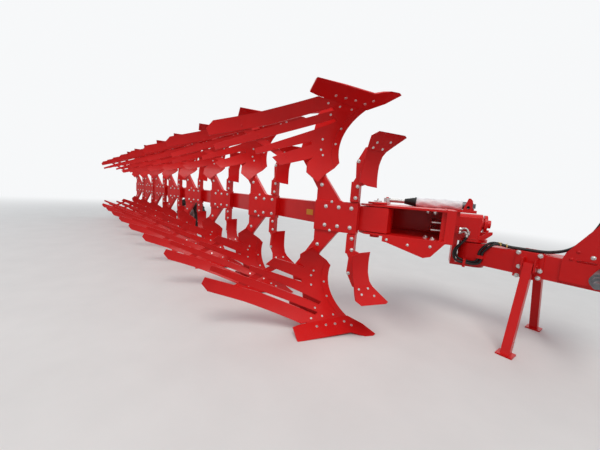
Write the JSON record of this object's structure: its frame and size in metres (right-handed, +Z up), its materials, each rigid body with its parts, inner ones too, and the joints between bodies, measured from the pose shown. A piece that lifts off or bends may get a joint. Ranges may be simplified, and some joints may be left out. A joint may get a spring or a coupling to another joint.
{
  "type": "reversible moldboard plough",
  "caption": "Long reversible moldboard plough with slatted bottoms above and below a square beam, skimmers, depth wheel, turnover head and drawbar on parking stands.",
  "frame": {"origin": "bottom centre of the parked plough's outer box, on the ground", "axes": "+X is the direction of travel, +Y to the plough's left, +Z up"},
  "size_m": [9.2202, 3.663, 1.76],
  "materials": {
    "red": "gloss",
    "dark": "satin",
    "steel": "satin",
    "wrap": "satin",
    "rim": "gloss",
    "tyre": "matte",
    "hose": "satin"
  },
  "bodies": {
    "drawbar": {"drawbar_beam": "red", "mast_plates": "red", "cross_shaft": "steel", "stand_clamps": "red", "hose_near": "hose", "hose_far": "hose"},
    "stand_right": {"stand_right": "red"},
    "stand_left": {"stand_left": "red"},
    "housing": {"turnover_housing": "red", "hose_loop_near": "hose", "hose_loop_far": "hose"},
    "head": {"head_frame": "red", "head_pipes": "steel"},
    "plough_frame": {"beam": "red", "beam_head": "red", "leg_brackets": "red", "landsides": "dark", "legs_1": "red", "legs_2": "red", "legs_3": "red", "legs_4": "red", "legs_5": "red", "legs_6": "red", "legs_7": "red", "legs_8": "red", "moldboards_1": "red", "moldboards_2": "red", "moldboards_3": "red", "moldboards_4": "red", "moldboards_5": "red", "moldboards_6": "red", "moldboards_7": "red", "moldboards_8": "red", "shares_1": "red", "shares_2": "red", "shares_3": "red", "shares_4": "red", "shares_5": "red", "shares_6": "red", "shares_7": "red", "shares_8": "red", "skimmers_1": "red", "skimmers_2": "red", "skimmers_3": "red", "skimmers_4": "red", "skimmers_5": "red", "skimmers_6": "red", "skimmers_7": "red", "skimmers_8": "red", "wheel_bracket": "red"},
    "align_barrel": {"align_barrel": "wrap"},
    "align_rod": {"align_rod": "steel"},
    "wheel_arm": {"wheel_arm": "red"},
    "wheel": {"wheel_rim": "rim", "wheel_tyre": "tyre"}
  },
  "joints": [
    {"name": "steer", "type": "hinge", "parent": "drawbar", "child": "housing", "pos_m": [3.6125, -0.3804, 0.626], "axis": [0, 0, 1], "range_deg": [-71, 19]},
    {"name": "turnover", "type": "hinge", "parent": "housing", "child": "head", "pos_m": [3.5325, -0.3804, 0.88], "axis": [-1, 0, 0], "range_deg": [0, 180]},
    {"name": "line_up", "type": "hinge", "parent": "head", "child": "plough_frame", "pos_m": [2.8825, -1.1204, 0.88], "axis": [0, 0, 1], "range_deg": [-3, 9]},
    {"name": "cylinder_swing", "type": "hinge", "parent": "head", "child": "align_barrel", "pos_m": [3.5275, -0.6804, 1.028], "axis": [0, 0, 1], "range_deg": [-0.5, 0.5]},
    {"name": "cylinder_stroke", "type": "slide", "parent": "align_barrel", "child": "align_rod", "axis": [-1, 0, 0], "range_m": [-0.024, 0.0695]},
    {"name": "swing_right_stand", "type": "hinge", "parent": "drawbar", "child": "stand_right", "pos_m": [3.93513, -0.71578, 0.63], "axis": [0.8988, -0.4384, 0], "range_deg": [-60, 0]},
    {"name": "swing_left_stand", "type": "hinge", "parent": "drawbar", "child": "stand_left", "pos_m": [4.07541, -0.42816, 0.63], "axis": [0.8988, -0.4384, 0], "range_deg": [0, 60]},
    {"name": "wheel_swing", "type": "hinge", "parent": "plough_frame", "child": "wheel_arm", "pos_m": [-1.1845, 1.0096, 0.88], "axis": [0, -1, 0], "range_deg": [0, 274]},
    {"name": "wheel_roll", "type": "hinge", "parent": "wheel_arm", "child": "wheel", "pos_m": [-1.7345, 1.2696, 0.37], "axis": [0, 1, 0], "continuous": true}
  ],
  "couplings": [
    {"joint": "cylinder_swing", "follows": "line_up", "ratio": 0.036},
    {"joint": "cylinder_stroke", "follows": "line_up", "m_per_rad": 0.44}
  ]
}
